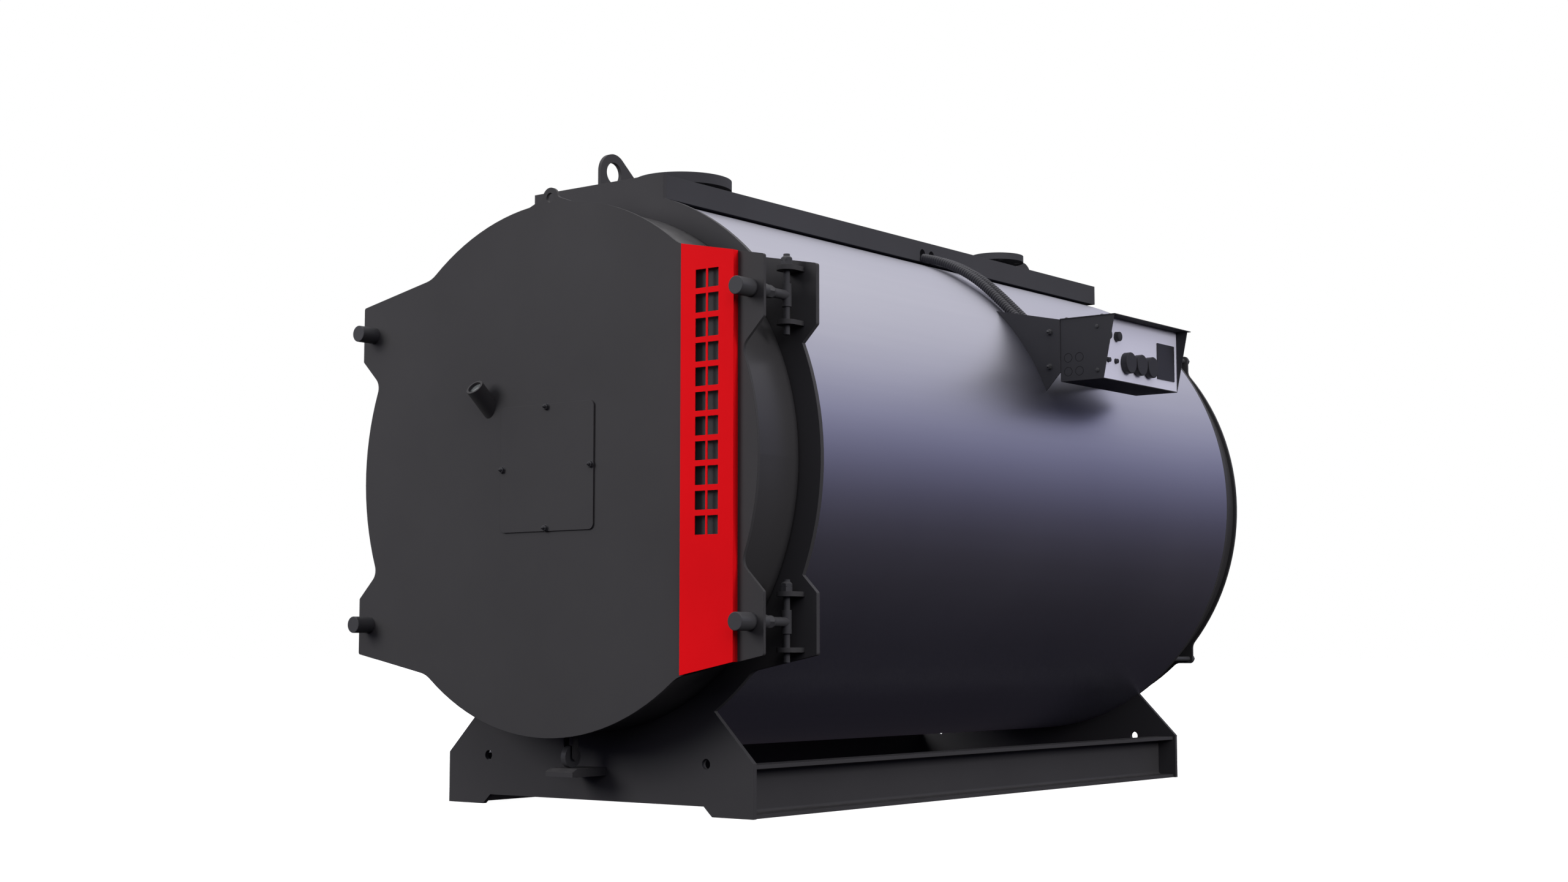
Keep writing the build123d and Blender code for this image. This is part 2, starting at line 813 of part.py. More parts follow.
with BuildPart() as door_rope:
    with BuildSketch(facing(front_y - seat_gap)):
        Circle(rope_r + rope_width / 2)
        Circle(rope_r - rope_width / 2, mode=Mode.SUBTRACT)
    extrude(amount=door_seam - seat_gap)
door_rope.part.label = "door_rope"
export_step(door_rope.part, "parts/door_rope.step")

# Red cover strip: folded sheet with a column of stencil slots
strip_right = bolt_x - strip_setin
strip_left = strip_right - strip_width
strip_top_left = ear_high + ear_slope_share * (door_side_x - strip_left)
strip_top_right = ear_high + ear_slope_share * (door_side_x - strip_right)
slot_column = (slot_count - 1) * slot_pitch + slot_length
slot_rise = strip_top_right - slot_end_margin - slot_column / 2
with BuildPart() as cover_strip:
    with BuildSketch(facing(door_y)):
        with BuildLine():
            Polyline(
                (strip_left, strip_top_left),
                (strip_right, strip_top_right),
                (strip_right, -strip_top_right),
                (strip_left, -strip_top_left),
                close=True,
            )
        make_face()
    extrude(amount=strip_depth)
    with BuildSketch(facing(door_y)):
        with Locations(((strip_left + strip_right) / 2, 0)):
            Rectangle(strip_right - strip_left - 2 * strip_t, 2 * (strip_top_left + overrun))
    extrude(amount=strip_depth - strip_t, mode=Mode.SUBTRACT)
    with BuildSketch(facing(door_y)):
        with Locations(((strip_left + strip_right) / 2, slot_rise)):
            with GridLocations(slot_width + slot_bridge, slot_pitch, 2, slot_count):
                Rectangle(slot_width, slot_length)
    extrude(amount=strip_depth, mode=Mode.SUBTRACT)
cover_strip.part.label = "cover_strip"
export_step(cover_strip.part, "parts/cover_strip.step")

with BuildPart() as burner_plate:
    with BuildSketch(facing(door_y)):
        RectangleRounded(2 * burner_plate_half, 2 * burner_plate_half, burner_plate_corner_r)
        with PolarLocations(burner_screw_ring_r, burner_screw_count):
            Circle(burner_screw_r, mode=Mode.SUBTRACT)
    extrude(amount=burner_plate_t)
burner_plate.part.label = "burner_plate"
export_step(burner_plate.part, "parts/burner_plate.step")

# Sight tube, leaning up from the door's face, with its glass
sight_run = Plane(
    origin=(sight_x, door_y, axis_height + sight_rise),
    x_dir=(1, 0, 0),
    z_dir=(0, -cos(radians(sight_tilt)), sin(radians(sight_tilt))),
)
with BuildPart() as sight_tube:
    with BuildSketch(sight_run.offset(-overrun)):
        Circle(sight_r)
        Circle(sight_bore_r, mode=Mode.SUBTRACT)
    extrude(amount=sight_length + overrun)
    split(bisect_by=Plane(origin=(0, door_y, 0), z_dir=(0, -1, 0)), keep=Keep.TOP)
sight_tube.part.label = "sight_tube"
export_step(sight_tube.part, "parts/sight_tube.step")

with BuildPart() as sight_glass:
    with BuildSketch(sight_run.offset(sight_length - sight_recess - sight_glass_t)):
        Circle(sight_bore_r)
    extrude(amount=sight_glass_t)
sight_glass.part.label = "sight_glass"
export_step(sight_glass.part, "parts/sight_glass.step")

# Door roller in its fork, over a ramped shelf on the front plate
roller_y = front_y - roller_setout
shelf_top = axis_height - drum_r - shelf_clearance
roller_z = shelf_top + roller_gap + roller_r
fork_half = roller_w / 2 + fork_side_gap
fork_base_half = fork_half + fork_leg_t + fork_base_margin
fork_base_z = axis_height - drum_r - fork_base_t
with BuildPart() as roller_fork:
    for side in (-1, 1):
        with BuildSketch(side_on(side * fork_half, roller_y, roller_z)):
            Circle(fork_leg_depth / 2)
            Rectangle(fork_leg_depth, fork_base_z - roller_z + fork_base_t, align=(Align.CENTER, Align.MIN))
        extrude(amount=side * fork_leg_t)
    with BuildSketch(level(0, roller_y, fork_base_z)):
        Rectangle(2 * fork_base_half, 2 * fork_leg_depth)
    extrude(amount=fork_base_t + drum_r - sqrt(drum_r**2 - fork_base_half**2))
    with BuildSketch(side_on(-fork_half - fork_leg_t, roller_y, roller_z)):
        Circle(roller_axle_r)
    extrude(amount=2 * (fork_half + fork_leg_t))
    with BuildSketch(facing(roller_y + 2 * fork_leg_depth)):
        Circle(drum_r)
    extrude(amount=4 * fork_leg_depth, mode=Mode.SUBTRACT)
roller_fork.part.label = "roller_fork"
export_step(roller_fork.part, "parts/roller_fork.step")

with BuildPart() as door_roller:
    with BuildSketch(side_on(-roller_w / 2, roller_y, roller_z)):
        Circle(roller_r)
        Circle(roller_axle_r + roller_bore_clearance, mode=Mode.SUBTRACT)
    extrude(amount=roller_w)
door_roller.part.label = "door_roller"
export_step(door_roller.part, "parts/door_roller.step")

with BuildPart() as roller_shelf:
    with BuildSketch(side_on(-shelf_half, front_y, shelf_top)):
        with BuildLine():
            Polyline(
                (0, 0),
                (2 * shelf_ramp - shelf_length, 0),
                (-shelf_length, -shelf_ramp),
                (-shelf_length, -shelf_t),
                (0, -shelf_t),
                close=True,
            )
        make_face()
    extrude(amount=2 * shelf_half)
roller_shelf.part.label = "roller_shelf"
export_step(roller_shelf.part, "parts/roller_shelf.step")

# Bracket that holds the control box off the jacket
bracket_top_z = axis_height + bracket_top_rise
bracket_low_z = axis_height + bracket_low_rise
bracket_side_z = axis_height + bracket_side_rise
with BuildPart() as panel_bracket:
    for bracket_y in (box_y, box_y + box_length + bracket_t):
        with BuildSketch(Plane(origin=(0, bracket_y, 0), x_dir=(1, 0, 0), z_dir=(0, -1, 0))):
            with BuildLine():
                Polyline(
                    (sqrt(jacket_r**2 - bracket_top_rise**2), bracket_top_z),
                    (box_back_x, box_top_z),
                    (box_back_x, bracket_side_z),
                    (sqrt(jacket_r**2 - bracket_low_rise**2), bracket_low_z),
                    (0, axis_height),
                    close=True,
                )
            make_face()
            with Locations((0, axis_height)):
                Circle(jacket_r, mode=Mode.SUBTRACT)
        extrude(amount=bracket_t)
    with BuildSketch(level(box_back_x, box_y, bracket_side_z)):
        Rectangle(bracket_t, box_length, align=(Align.MAX, Align.MIN))
    extrude(amount=box_top_z - bracket_side_z)
panel_bracket.part.label = "panel_bracket"
export_step(panel_bracket.part, "parts/panel_bracket.step")

# Control box: body, two flared cheeks and a hood
with BuildPart() as control_box:
    with BuildSketch(Plane(origin=(0, box_y, 0), x_dir=(1, 0, 0), z_dir=(0, -1, 0))):
        with BuildLine():
            Polyline(
                (box_back_x, box_low_z),
                (box_front_x, box_low_z),
                (box_front_x + cheek_flare, box_top_z),
                (box_back_x, box_top_z),
                close=True,
            )
        make_face()
    extrude(amount=-box_length)
    with BuildSketch(level(box_front_x - panel_t, box_y + box_sheet, box_low_z + box_sheet)):
        Rectangle(cheek_flare + overrun, box_length - 2 * box_sheet, align=(Align.MIN, Align.MIN))
    extrude(amount=box_height - box_sheet, mode=Mode.SUBTRACT)
    with BuildSketch(level(box_back_x, box_y - box_sheet, box_top_z)):
        Rectangle(
            box_front_x + cheek_flare + hood_overhang - box_back_x,
            box_length + box_sheet + hood_side_overhang,
            align=(Align.MIN, Align.MIN),
        )
    extrude(amount=box_sheet)
control_box.part.label = "control_box"
export_step(control_box.part, "parts/control_box.step")

with BuildPart() as control_panel:
    with BuildSketch(level(box_front_x - panel_t, box_y + box_sheet, box_low_z + box_sheet)):
        Rectangle(panel_t, box_length - 2 * box_sheet, align=(Align.MIN, Align.MIN))
    extrude(amount=box_height - box_sheet)
control_panel.part.label = "control_panel"
export_step(control_panel.part, "parts/control_panel.step")

# Gauges, display, knobs and buttons on the control box's panel
panel_face = side_on(box_front_x, box_y, axis_height)
with BuildPart() as panel_gauges:
    with BuildSketch(panel_face):
        with Locations(*[(gauge_setback + step * gauge_pitch, gauge_rise) for step in range(gauge_count)]):
            Circle(gauge_r)
    extrude(amount=gauge_depth)
    fillet(panel_gauges.edges().group_by(Axis.X)[-1], gauge_edge)
panel_gauges.part.label = "panel_gauges"
export_step(panel_gauges.part, "parts/panel_gauges.step")

with BuildPart() as panel_display:
    with BuildSketch(panel_face):
        with Locations((box_length - display_inset, display_rise)):
            Rectangle(display_width, display_height, align=(Align.MAX, Align.MIN))
    extrude(amount=display_t)
panel_display.part.label = "panel_display"
export_step(panel_display.part, "parts/panel_display.step")

with BuildPart() as panel_knobs:
    with BuildSketch(panel_face):
        with Locations((knob_setback, knob_rise), (knob_setback - 2 * knob_r - button_r, knob_rise)):
            Circle(knob_r)
    extrude(amount=knob_depth)
    with BuildSketch(panel_face):
        with Locations((button_setback, button_rise), (button_setback + button_pitch, button_rise)):
            Circle(button_r)
    extrude(amount=button_depth)
panel_knobs.part.label = "panel_knobs"
export_step(panel_knobs.part, "parts/panel_knobs.step")

# Conduits: straight runs joined by tangent arcs over the jacket
conduit_bend_rs = [jacket_r + gap for gap in (conduit_clearance, conduit_clearance, conduit_low_clearance)]
conduit_route = [
    (top_box_half - conduit_r, top_box_rise - conduit_entry_drop),
    *[(r * cos(radians(a)), r * sin(radians(a))) for r, a in zip(conduit_bend_rs, conduit_angles)],
    (box_back_x + conduit_r, conduit_end_rise),
]
conduit_radii = []
for before, here, after in zip(conduit_route, conduit_route[1:], conduit_route[2:]):
    run_in = hypot(here[0] - before[0], here[1] - before[1])
    run_out = hypot(after[0] - here[0], after[1] - here[1])
    turn = abs(
        atan2(here[1] - before[1], here[0] - before[0]) - atan2(after[1] - here[1], after[0] - here[0])
    )
    conduit_radii.append(conduit_bend_share * min(run_in, run_out) / tan(turn / 2))


def conduit(y):
    """Conduit at depth y, from the top box's side to the bracket's back."""
    with BuildPart() as run:
        with BuildLine():
            path = FilletPolyline(
                *[(x, y, axis_height + rise) for x, rise in conduit_route], radius=conduit_radii
            )
        with BuildSketch(path ^ 0):
            Circle(conduit_r)
        sweep()
        split(bisect_by=Plane(origin=(top_box_half, 0, 0), z_dir=(1, 0, 0)), keep=Keep.TOP)
        split(bisect_by=Plane(origin=(box_back_x - bracket_t, 0, 0), z_dir=(1, 0, 0)), keep=Keep.BOTTOM)
    return run.part


front_run = conduit(box_y + conduit_setback)
with BuildPart() as conduit_front:
    add(front_run)
conduit_front.part.label = "conduit_front"
export_step(conduit_front.part, "parts/conduit_front.step")

rear_run = conduit(box_y + conduit_setback + conduit_pitch)
with BuildPart() as conduit_rear:
    add(rear_run)
conduit_rear.part.label = "conduit_rear"
export_step(conduit_rear.part, "parts/conduit_rear.step")
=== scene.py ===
"""Looks of the industrial boiler: camera, light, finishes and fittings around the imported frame.

Lengths are metres in the frame's own axes: +Y runs from the front door to the back, +X to the side
with the control box, +Z up from the floor.
"""
from math import cos, pi, radians, sin

import bmesh
import bpy
import numpy as np
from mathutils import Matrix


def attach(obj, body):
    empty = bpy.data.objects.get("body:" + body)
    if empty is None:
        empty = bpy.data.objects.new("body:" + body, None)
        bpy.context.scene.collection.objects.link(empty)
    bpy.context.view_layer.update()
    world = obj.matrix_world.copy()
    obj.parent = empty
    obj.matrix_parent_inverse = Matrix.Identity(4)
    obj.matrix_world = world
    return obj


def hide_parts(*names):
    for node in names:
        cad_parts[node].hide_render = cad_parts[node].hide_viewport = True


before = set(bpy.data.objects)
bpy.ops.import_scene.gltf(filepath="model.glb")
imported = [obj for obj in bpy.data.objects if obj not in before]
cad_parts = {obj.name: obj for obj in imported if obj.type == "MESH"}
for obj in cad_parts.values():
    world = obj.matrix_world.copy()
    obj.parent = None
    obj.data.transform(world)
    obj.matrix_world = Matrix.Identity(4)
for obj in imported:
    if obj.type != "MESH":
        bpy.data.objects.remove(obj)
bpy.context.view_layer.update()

# Camera: a 50 mm view from low down, off the door's right-hand corner, looking slightly up. The
# colours go to the picture as they are, without a film curve.
camera_place = (3.5575, -4.8814, 0.3868)
camera_yaw = radians(37.648)
camera_pitch = radians(5.391)
lens_length = 50
sensor_width = 36
camera_data = bpy.data.cameras.new("camera")
camera_data.lens = lens_length
camera_data.sensor_width = sensor_width
camera = bpy.data.objects.new("camera", camera_data)
camera.location = camera_place
camera.rotation_euler = (pi / 2 + camera_pitch, 0, camera_yaw)
bpy.context.scene.collection.objects.link(camera)
bpy.context.scene.camera = camera
bpy.context.scene.view_settings.view_transform = "Standard"


# Light: a soft studio. The room is bright overhead and dim below the horizon, as in a studio with
# a dark surround, and the camera itself sees only a white backdrop. The lamps light paint alone, so
# that nothing but the room shows in the satin jacket.
sky_stops = (
    (0.00, (0.010, 0.009, 0.012)),
    (0.20, (0.0085, 0.0077, 0.012)),
    (0.35, (0.0245, 0.022, 0.0245)),
    (0.46, (0.037, 0.031, 0.035)),
    (0.56, (0.125, 0.126, 0.215)),
    (0.66, (0.31, 0.32, 0.50)),
    (0.80, (0.84, 0.825, 0.80)),
    (1.00, (1.00, 1.00, 1.05)),
)


class Wire:
    """A shader socket that takes part in sums, written as ordinary arithmetic."""

    def __init__(self, recipe, socket):
        self.recipe = recipe
        self.socket = socket

    def sum(self, operation, left, right):
        """One Math node on two wires or numbers."""
        return self.recipe.node("ShaderNodeMath", {"operation": operation}, {0: left, 1: right})

    def __add__(self, other):
        return self.sum("ADD", self, other)

    def __radd__(self, other):
        return self.sum("ADD", other, self)

    def __sub__(self, other):
        return self.sum("SUBTRACT", self, other)

    def __rsub__(self, other):
        return self.sum("SUBTRACT", other, self)

    def __mul__(self, other):
        return self.sum("MULTIPLY", self, other)

    def __rmul__(self, other):
        return self.sum("MULTIPLY", other, self)


class Recipe:
    """The nodes of the room or of one finish, all added by the same method."""

    def __init__(self, owner):
        owner.use_nodes = True
        self.nodes = owner.node_tree.nodes
        self.links = owner.node_tree.links

    def node(self, kind, settings=None, values=None, out=0):
        """Adds any node: its settings or a ramp's stops first, then its sockets' values."""
        made = self.nodes.new(kind)
        for key, value in (settings or {}).items():
            if key == "stops":
                ramp = made.color_ramp
                ramp.interpolation = "B_SPLINE"
                while len(ramp.elements) < len(value):
                    ramp.elements.new(0.5)
                for element, (place, colour) in zip(ramp.elements, value):
                    element.position = place
                    element.color = (*colour, 1)
            else:
                setattr(made, key, value)
        for socket, value in (values or {}).items():
            if isinstance(value, Wire):
                self.links.new(value.socket, made.inputs[socket])
            else:
                made.inputs[socket].default_value = value
        return Wire(self, made.outputs[out])

    def between(self, value, low, high, to_low=0.0, to_high=1.0):
        """A value carried from one range to another, and held at its ends."""
        return self.node(
            "ShaderNodeMapRange",
            {"clamp": True},
            {
                "Value": value,
                "From Min": low,
                "From Max": high,
                "To Min": to_low,
                "To Max": to_high,
            },
        )


room_world = bpy.data.worlds.new("room")
bpy.context.scene.world = room_world
room = Recipe(room_world)
direction = room.node("ShaderNodeTexCoord", out="Generated")
rise = room.node("ShaderNodeSeparateXYZ", None, {0: direction}, out="Z")
sky = room.node("ShaderNodeValToRGB", {"stops": sky_stops}, {0: room.between(rise, -1, 1)})
glow = room.node("ShaderNodeBackground", None, {"Color": sky})
backdrop = room.node("ShaderNodeBackground", None, {"Color": (1, 1, 1, 1)})
seen = room.node("ShaderNodeLightPath", out="Is Camera Ray")
either = room.node("ShaderNodeMixShader", None, {0: seen, 1: glow, 2: backdrop})
room.links.new(either.socket, room.nodes["World Output"].inputs["Surface"])


def soft_lamp(name, place, aim, width, power, colour=(1, 1, 1)):
    """Square lamp of a width in metres and a power in watts at a place, turned towards a point."""
    lamp_data = bpy.data.lights.new(name, "AREA")
    lamp_data.size = width
    lamp_data.energy = power
    lamp_data.color = colour
    lamp = bpy.data.objects.new(name, lamp_data)
    lamp.location = place
    towards = np.array(aim, float) - np.array(place, float)
    tilt = np.arctan2(towards[2], np.hypot(towards[0], towards[1]))
    lamp.rotation_euler = (pi / 2 + tilt, 0, np.arctan2(-towards[0], towards[1]))
    lamp.visible_glossy = False
    bpy.context.scene.collection.objects.link(lamp)


soft_lamp("overhead", (0.6, 0.6, 6.0), (0.3, 0.0, 0.8), 3.0, 190)
soft_lamp("front_fill", (-3.0, -6.6, 3.0), (0.0, -1.0, 0.8), 3.2, 335, (1.0, 0.99, 0.98))
soft_lamp("right_fill", (4.4, -4.6, 2.7), (0.6, -1.0, 0.9), 2.0, 30, (1.0, 0.98, 0.99))
soft_lamp("side_fill", (6.8, 0.3, 2.6), (0.5, 0.2, 0.8), 2.2, 215, (1.0, 0.98, 0.97))

# Floor: a plain white studio floor that runs to the horizon, a hair under the feet of the stand. It
# glows, so that it shows as white as the backdrop, but no piece is lit by it or mirrors it.
floor_reach = 60
floor_sides = 96
floor_level = -0.0008
floor_tones = ((0.78, 0.78, 0.78, 1), (0.82, 0.82, 0.82, 1))


class Finish(Recipe):
    """One surface finish: a material, its principled shader and the nodes that feed it."""

    def __init__(self, name, **constants):
        self.material = bpy.data.materials.new(name)
        super().__init__(self.material)
        self.shader = self.nodes["Principled BSDF"]
        for socket, value in constants.items():
            self.shader.inputs[socket.replace("_", " ")].default_value = value

    def feed(self, **wires):
        """Links wires to the shader's own sockets."""
        for socket, wire in wires.items():
            self.links.new(wire.socket, self.shader.inputs[socket.replace("_", " ")])

    def place(self):
        """Where a point of the surface is, in metres."""
        return self.node("ShaderNodeTexCoord", out="Object")

    def stretched(self, scale):
        """The same place, stretched along an axis where its scale is small."""
        return self.node("ShaderNodeMapping", None, {"Vector": self.place(), "Scale": scale})

    def noise(self, scale, detail=2, rough=0.5, at=None):
        """Cloudy values from 0 to 1, scale being blotches a metre."""
        return self.node(
            "ShaderNodeTexNoise",
            None,
            {"Vector": at or self.place(), "Scale": scale, "Detail": detail, "Roughness": rough},
        )

    def mixed(self, share, first, second):
        """Colour between two colours."""
        return self.node(
            "ShaderNodeMix", {"data_type": "RGBA"}, {0: share, 6: first, 7: second}, out=2
        )

    def height(self, value, distance, strength=1.0, normal=None):
        """Bumps of a height in metres on the surface."""
        values = {"Height": value, "Distance": distance, "Strength": strength}
        if normal:
            values["Normal"] = normal
        return self.node("ShaderNodeBump", None, values)

    def rounded(self, radius, samples=4):
        """Normals that round every sharp edge by a radius."""
        return self.node("ShaderNodeBevel", {"samples": samples}, {"Radius": radius})

    def edge(self, normal, start=0.01, reach=0.35):
        """One along a rounded edge and zero on the open face."""
        flat = self.node("ShaderNodeNewGeometry", out="True Normal")
        along = self.node(
            "ShaderNodeVectorMath", {"operation": "DOT_PRODUCT"}, {0: normal, 1: flat}, out="Value"
        )
        return self.between(1 - along, start, reach)

    def upward(self, low=0.6, high=0.95):
        """One where the surface faces up and zero elsewhere."""
        facing = self.node("ShaderNodeNewGeometry", out="Normal")
        climb = self.node("ShaderNodeSeparateXYZ", None, {0: facing}, out="Z")
        return self.between(climb, low, high)

    def cover(self, *names):
        """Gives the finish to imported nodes."""
        for name in names:
            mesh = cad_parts[name].data
            mesh.materials.clear()
            mesh.materials.append(self.material)


floor_mesh = bpy.data.meshes.new("floor")
floor_turns = np.linspace(0, 2 * pi, floor_sides, endpoint=False)
floor_rim = np.stack(
    [
        floor_reach * np.cos(floor_turns),
        floor_reach * np.sin(floor_turns),
        np.full(floor_sides, floor_level),
    ],
    axis=1,
)
floor_mesh.from_pydata(floor_rim.tolist(), [], [list(range(floor_sides))])
floor = bpy.data.objects.new("floor", floor_mesh)
bpy.context.scene.collection.objects.link(floor)
floor_finish = Finish(
    "pale_floor", Roughness=0.9, Emission_Color=(1, 1, 1, 1), Emission_Strength=0.96
)
floor_finish.feed(Base_Color=floor_finish.mixed(floor_finish.noise(0.7, 3), *floor_tones))
floor_mesh.materials.append(floor_finish.material)
floor.visible_glossy = False
floor.visible_diffuse = False


# Painted steelwork: end plates, rails, hinge lugs and roller shelf, cut from plate and welded up,
# then powder-coated dark grey. The coat has a fine orange peel and is lighter along the cut edges,
# partly from wear and partly as a painted highlight, and a little dust lies on what faces up.
dust_colour = (0.20, 0.195, 0.19, 1)
dust_roughness = 0.35


def powder_coat(
    name,
    colour,
    peel=0.00006,
    gloss=0.46,
    dust=0.16,
    edge_width=0.0010,
    edge_light=0.12,
    shine=0.3,
    cloud=0.06,
):
    """Powder-coat finish: cloudy colour, fine peel, dust above, and edges lighter from wear and a
    painted highlight.

    The peel and the edge's width are metres, the gloss is the roughness, and the dust, the edge's
    light, the shine and the cloud are shares.
    """
    coat = Finish(name, IOR=1.45, Specular_IOR_Level=shine)
    clouds = coat.noise(2.2, 4, 0.55)
    deep = tuple((1 - cloud) * part for part in colour) + (1,)
    pale = tuple((1 + cloud) * part for part in colour) + (1,)
    base = coat.mixed(coat.between(clouds, 0.32, 0.68), deep, pale)
    soft = coat.rounded(edge_width)
    speckle = coat.noise(240, 2)
    # Edge tone: partly wear, partly a painted highlight where a rounded edge would catch the light.
    edge_wear_and_highlight = coat.edge(soft) * coat.between(speckle, 0.35, 0.6, 0.55, 1.0) * edge_light
    light = tuple(min(1.0, 2.2 * part + 0.02) for part in colour) + (1,)
    base = coat.mixed(edge_wear_and_highlight, base, light)
    fluff = coat.upward() * coat.between(coat.noise(30, 5, 0.7), 0.40, 0.75) * dust
    base = coat.mixed(fluff, base, dust_colour)
    rough = gloss + coat.between(coat.noise(6, 3), 0.3, 0.7, -0.03, 0.05) + fluff * dust_roughness
    bumps = coat.height(coat.noise(420, 2), peel, 0.6, soft)
    coat.feed(Base_Color=base, Roughness=rough, Normal=bumps)
    return coat


plate_paint = powder_coat("plate_paint", (0.047, 0.046, 0.048), shine=0.16)
plate_paint.cover(
    "front_plate",
    "rear_plate",
    "stand_rail_right",
    "stand_rail_left",
    "roller_shelf",
    "hinge_lugs",
    "front_lifting_eye",
    "rear_lifting_eye",
)

# Door and rear cover: flat plate, with the burner's blanking plate, the sight tube and the roller's
# fork on the door, and the flue's spigot behind, welded or screwed on and coated like the stand.
door_paint = powder_coat("door_paint", (0.046, 0.045, 0.0465), shine=0.16)
door_paint.cover(
    "door_plate",
    "burner_plate",
    "sight_tube",
    "roller_fork",
    "rear_cover",
    "flue_spigot",
)

# Drums of the door and of the rear cover: rolled sheet welded to the back of its plate, smoother
# and glossier than the flat plates. Their colour is a little darker than the plates': painted shade
# for the hollow behind the door, which the rear drum shares.
shaded_drum_paint = powder_coat(
    "shaded_drum_paint", (0.040, 0.039, 0.0405), peel=0.00003, gloss=0.33, shine=0.55
)
shaded_drum_paint.cover("door_drum", "rear_drum")

# Top box, nozzles, bracket and control box: folded sheet and turned flanges, screwed or welded on,
# in a duller coat a shade cooler than the plates.
cover_paint = powder_coat("cover_paint", (0.0505, 0.0505, 0.0555), gloss=0.66, shine=0.06)
cover_paint.cover("top_box", "front_nozzle", "rear_nozzle", "panel_bracket", "control_box")

# Red cover strip on the hinge side of the door: folded sheet in red powder coat, with a column of
# stencil slots through its upper part.
red_coat = powder_coat(
    "red_coat",
    (0.72, 0.0045, 0.0080),
    peel=0.00004,
    gloss=0.5,
    dust=0.03,
    edge_light=0.08,
    shine=0.08,
)
red_coat.cover("cover_strip")

# Jacket: rolled satin sheet metal round the insulation, held between the end plates, with faint
# mill lines along the boiler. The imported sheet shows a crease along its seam, so the same sheet
# stands in for it with finer facets and one unbroken surface.
jacket_thickness = 0.002
jacket_sides = 288
jacket_tones = ((0.63, 0.63, 0.715, 1), (0.66, 0.66, 0.745, 1))
mill_line_tone = (0.54, 0.54, 0.63, 1)
mill_line_depth = 0.00003
wave_height = 0.0012
weld_gap = 1e-6


def points_of(mesh):
    """Every vertex of a mesh as one row."""
    points = np.empty(len(mesh.vertices) * 3)
    mesh.vertices.foreach_get("co", points)
    return points.reshape(-1, 3)


def packed_box(name):
    """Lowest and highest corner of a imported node, to the millimetre."""
    points = points_of(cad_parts[name].data)
    return points.min(axis=0).round(3), points.max(axis=0).round(3)


def set_piece(name, grids, finish, body, smooth_angle=35):
    """One piece from grids of points, each closed round its second side.

    Row by row, every four neighbouring points make a face. Doubles are merged, so a row that is a
    single point closes the end, and the normals are turned outwards.
    """
    corners, faces, count = [], [], 0
    for grid in grids:
        rows, turns = grid.shape[:2]
        index = count + np.arange(rows * turns).reshape(rows, turns)
        beside = np.roll(index, -1, axis=1)
        around = np.stack([index[:-1], beside[:-1], beside[1:], index[1:]], axis=-1)
        faces.append(around.reshape(-1, 4))
        corners.append(grid.reshape(-1, 3))
        count += rows * turns
    mesh = bpy.data.meshes.new(name)
    mesh.from_pydata(np.concatenate(corners).tolist(), [], np.concatenate(faces).tolist())
    shell = bmesh.new()
    shell.from_mesh(mesh)
    bmesh.ops.remove_doubles(shell, verts=shell.verts, dist=weld_gap)
    bmesh.ops.recalc_face_normals(shell, faces=shell.faces)
    shell.to_mesh(mesh)
    shell.free()
    mesh.shade_smooth()
    mesh.set_sharp_from_angle(angle=radians(smooth_angle))
    mesh.materials.append(finish.material)
    piece = bpy.data.objects.new(name, mesh)
    bpy.context.scene.collection.objects.link(piece)
    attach(piece, body)
    return piece


def turned(profile, place, axis, sides=32, start=0.0, flutes=0, flute_share=0.0):
    """Turned shape: each (radius, height) of the profile goes once round the axis at a place.

    A point is the place, plus height along the axis, plus radius times the cosine and sine of the
    turn along two directions square to the axis. A start in radians turns the whole shape. Flutes
    draw the radius in by a share that swings from nothing to its full value with the cosine of the
    turn times their count.
    """
    rows = np.array(profile, float)
    axis = np.array(axis, float) / np.linalg.norm(axis)
    across = np.cross(axis, (0, 0, 1) if abs(axis[2]) < 0.9 else (1, 0, 0))
    across /= np.linalg.norm(across)
    beside = np.cross(axis, across)
    turns = start + np.linspace(0, 2 * pi, sides, endpoint=False)
    reach = 1 - flute_share * (0.5 + 0.5 * np.cos(flutes * turns))
    ring = (reach * np.cos(turns))[:, None] * across + (reach * np.sin(turns))[:, None] * beside
    centres = np.array(place, float) + rows[:, 1, None, None] * axis
    return centres + rows[:, 0, None, None] * ring[None]


jacket_sheet = Finish("jacket_sheet", IOR=1.6)
jacket_lines = jacket_sheet.noise(26, 4, 0.6, at=jacket_sheet.stretched((1, 0.02, 1)))
jacket_clouds = jacket_sheet.noise(1.6, 3)
jacket_base = jacket_sheet.mixed(jacket_clouds, *jacket_tones)
line_share = jacket_sheet.between(jacket_lines, 0.25, 0.75, 0.0, 0.16)
jacket_waves = jacket_sheet.height(jacket_sheet.noise(2.4, 1), wave_height, 0.15)
jacket_sheet.feed(
    Base_Color=jacket_sheet.mixed(line_share, jacket_base, mill_line_tone),
    Metallic=jacket_sheet.between(jacket_clouds, 0.2, 0.8, 1.0, 0.985),
    Roughness=jacket_sheet.between(jacket_lines, 0.3, 0.7, 0.385, 0.415),
    Normal=jacket_sheet.height(jacket_lines, mill_line_depth, 0.5, jacket_waves),
)
jacket_sheet.cover("jacket")
jacket_low, jacket_high = packed_box("jacket")
axis_z = (jacket_low[2] + jacket_high[2]) / 2
jacket_radius = jacket_high[0]
jacket_reach = jacket_high[1]
jacket_bore = jacket_radius - jacket_thickness
jacket_corners = (
    (jacket_radius, -jacket_reach),
    (jacket_radius, jacket_reach),
    (jacket_bore, jacket_reach),
    (jacket_bore, -jacket_reach),
    (jacket_radius, -jacket_reach),
)
jacket = set_piece(
    "jacket_rolled",
    [turned(jacket_corners, (0, 0, axis_z), (0, 1, 0), jacket_sides)],
    jacket_sheet,
    "boiler",
)
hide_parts("jacket")

